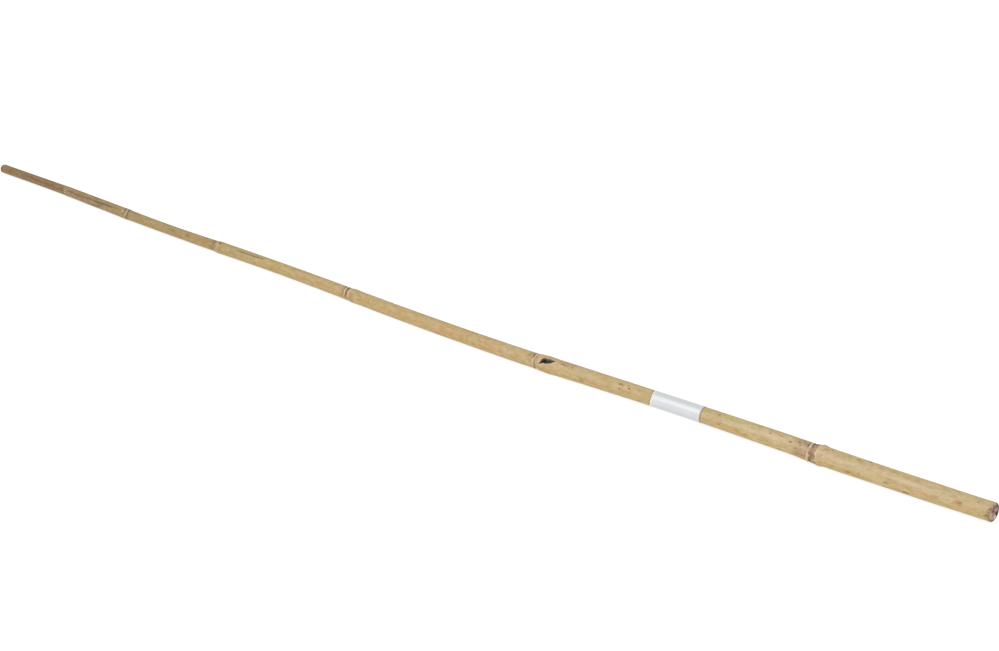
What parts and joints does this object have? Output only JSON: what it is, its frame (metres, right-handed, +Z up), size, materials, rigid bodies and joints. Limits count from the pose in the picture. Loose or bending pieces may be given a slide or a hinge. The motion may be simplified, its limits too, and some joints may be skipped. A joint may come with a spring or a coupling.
{
  "type": "bamboo cane",
  "caption": "Straight garden cane of one bamboo stem with swollen nodes, sawn ends, a broken hole beside one node and a plain label band near the thick end.",
  "frame": {"origin": "on the surface that the cane lies on, below the middle of its bounding box", "axes": "+X along the cane from its thin end to its thick end, +Z up from the surface, +Y to the cane's left as seen from its thin end"},
  "size_m": [1.799, 0.0378, 0.0227],
  "materials": {
    "bamboo": "satin",
    "label_paper": "satin"
  },
  "bodies": {
    "root": {"cane": "bamboo", "label": "label_paper"}
  },
  "joints": []
}
